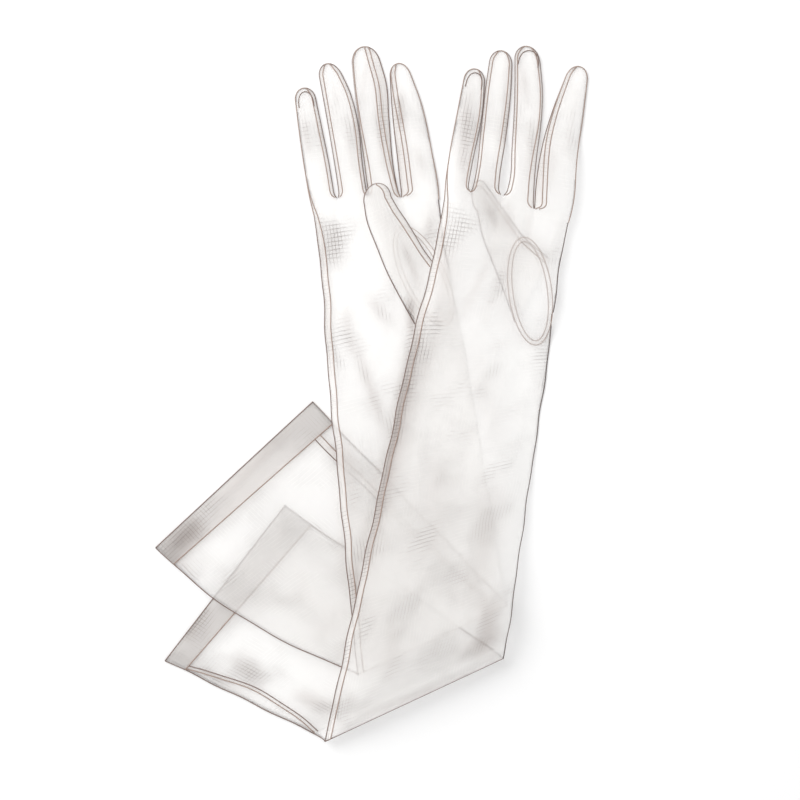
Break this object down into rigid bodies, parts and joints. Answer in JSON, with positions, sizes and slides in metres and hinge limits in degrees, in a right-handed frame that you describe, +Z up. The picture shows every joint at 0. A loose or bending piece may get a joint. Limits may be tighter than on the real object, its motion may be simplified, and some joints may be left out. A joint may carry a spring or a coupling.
{
  "type": "opera gloves",
  "caption": "Pair of long sheer opera gloves laid flat, one palm up under one back up, with the sleeves folded back and hemmed openings.",
  "frame": {"origin": "on the table under the middle of the pair's bounding box", "axes": "+Y towards the fingertips, +X from the palm-up glove to the back-up glove, +Z up from the table"},
  "size_m": [0.2868, 0.4576, 0.0268],
  "materials": {
    "cloth": "sheer crisp ivory organza",
    "seam": "several layers of the same sheer cloth, pressed",
    "hem": "turned hem of the same sheer cloth"
  },
  "bodies": {
    "sleeve_ends": {"left_cuff_back": "cloth", "left_cuff_palm": "cloth", "left_cuff_seam": "seam", "left_hem_back": "hem", "left_hem_palm": "hem", "right_cuff_back": "cloth", "right_cuff_palm": "cloth", "right_cuff_seam": "seam", "right_hem_back": "hem", "right_hem_palm": "hem"},
    "left_hand": {"left_hand_back": "cloth", "left_hand_palm": "cloth", "left_arm_seam": "seam", "left_thumb_welt": "seam"},
    "left_thumb": {"left_thumb_back": "cloth", "left_thumb_palm": "cloth", "left_thumb_seam": "seam"},
    "left_little_finger": {"left_little_finger_back": "cloth", "left_little_finger_palm": "cloth", "left_little_fourchette_inner": "seam"},
    "left_ring_finger": {"left_ring_finger_back": "cloth", "left_ring_finger_palm": "cloth", "left_ring_fourchette_outer": "seam", "left_ring_fourchette_inner": "seam"},
    "left_middle_finger": {"left_middle_finger_back": "cloth", "left_middle_finger_palm": "cloth", "left_middle_fourchette_outer": "seam", "left_middle_fourchette_inner": "seam"},
    "left_index_finger": {"left_index_finger_back": "cloth", "left_index_finger_palm": "cloth", "left_index_fourchette_outer": "seam"},
    "right_hand": {"right_hand_back": "cloth", "right_hand_palm": "cloth", "right_arm_seam": "seam", "right_thumb_welt": "seam", "right_ring_base_back": "cloth", "right_ring_base_palm": "cloth", "right_ring_base_fourchette_outer": "seam", "right_ring_base_fourchette_inner": "seam", "right_middle_base_back": "cloth", "right_middle_base_palm": "cloth", "right_middle_base_fourchette_outer": "seam", "right_middle_base_fourchette_inner": "seam"},
    "right_thumb": {"right_thumb_back": "cloth", "right_thumb_palm": "cloth", "right_thumb_seam": "seam"},
    "right_little_finger": {"right_little_finger_back": "cloth", "right_little_finger_palm": "cloth", "right_little_fourchette_inner": "seam"},
    "right_ring_finger": {"right_ring_finger_back": "cloth", "right_ring_finger_palm": "cloth", "right_ring_fourchette_outer": "seam", "right_ring_fourchette_inner": "seam"},
    "right_middle_finger": {"right_middle_finger_back": "cloth", "right_middle_finger_palm": "cloth", "right_middle_fourchette_outer": "seam", "right_middle_fourchette_inner": "seam"},
    "right_index_finger": {"right_index_finger_back": "cloth", "right_index_finger_palm": "cloth", "right_index_fourchette_outer": "seam"}
  },
  "joints": [
    {"name": "left_sleeve_fold", "type": "hinge", "parent": "sleeve_ends", "child": "left_hand", "pos_m": [0.0278, -0.20283, 0.009], "axis": [-0.9063, -0.4226, 0], "range_deg": [-170, 0]},
    {"name": "right_sleeve_fold", "type": "hinge", "parent": "sleeve_ends", "child": "right_hand", "pos_m": [0.03985, -0.16278, 0.0133], "axis": [-0.9063, -0.4226, 0], "range_deg": [-170, 0]},
    {"name": "left_thumb_swing", "type": "hinge", "parent": "left_hand", "child": "left_thumb", "pos_m": [0.1043, 0.06654, 0], "axis": [0, 0, -1], "range_deg": [0, 75]},
    {"name": "right_thumb_lift", "type": "hinge", "parent": "right_hand", "child": "right_thumb", "pos_m": [0.0291, 0.07198, 0.0107], "axis": [0.4904, 0.8715, 0], "range_deg": [0, 90]},
    {"name": "left_little_bend", "type": "hinge", "parent": "left_hand", "child": "left_little_finger", "pos_m": [0.05507, 0.1255, 0.01593], "axis": [0.9833, -0.1822, 0], "range_deg": [0, 90]},
    {"name": "left_ring_bend", "type": "hinge", "parent": "left_hand", "child": "left_ring_finger", "pos_m": [0.07341, 0.1221, 0.01436], "axis": [0.9833, -0.1822, 0], "range_deg": [0, 90]},
    {"name": "left_middle_bend", "type": "hinge", "parent": "left_hand", "child": "left_middle_finger", "pos_m": [0.09529, 0.11805, 0.00955], "axis": [0.9833, -0.1822, 0], "range_deg": [0, 90]},
    {"name": "left_index_bend", "type": "hinge", "parent": "left_hand", "child": "left_index_finger", "pos_m": [0.11805, 0.11383, 0.0095], "axis": [0.9833, -0.1822, 0], "range_deg": [0, 90]},
    {"name": "right_little_bend", "type": "hinge", "parent": "right_hand", "child": "right_little_finger", "pos_m": [-0.03101, 0.11752, 0.0046], "axis": [0.9914, 0.1305, 0], "range_deg": [0, 90]},
    {"name": "right_ring_bend", "type": "hinge", "parent": "right_hand", "child": "right_ring_finger", "pos_m": [-0.01509, 0.13574, 0.0046], "axis": [0.9873, 0.1586, 0], "range_deg": [0, 90]},
    {"name": "right_middle_bend", "type": "hinge", "parent": "right_hand", "child": "right_middle_finger", "pos_m": [0.00712, 0.13997, 0.0046], "axis": [0.9902, 0.1393, 0], "range_deg": [0, 90]},
    {"name": "right_index_bend", "type": "hinge", "parent": "right_hand", "child": "right_index_finger", "pos_m": [0.03249, 0.12588, 0.0046], "axis": [0.9914, 0.1305, 0], "range_deg": [0, 90]}
  ],
  "couplings": [
    {"joint": "right_sleeve_fold", "follows": "left_sleeve_fold", "ratio": 1}
  ]
}
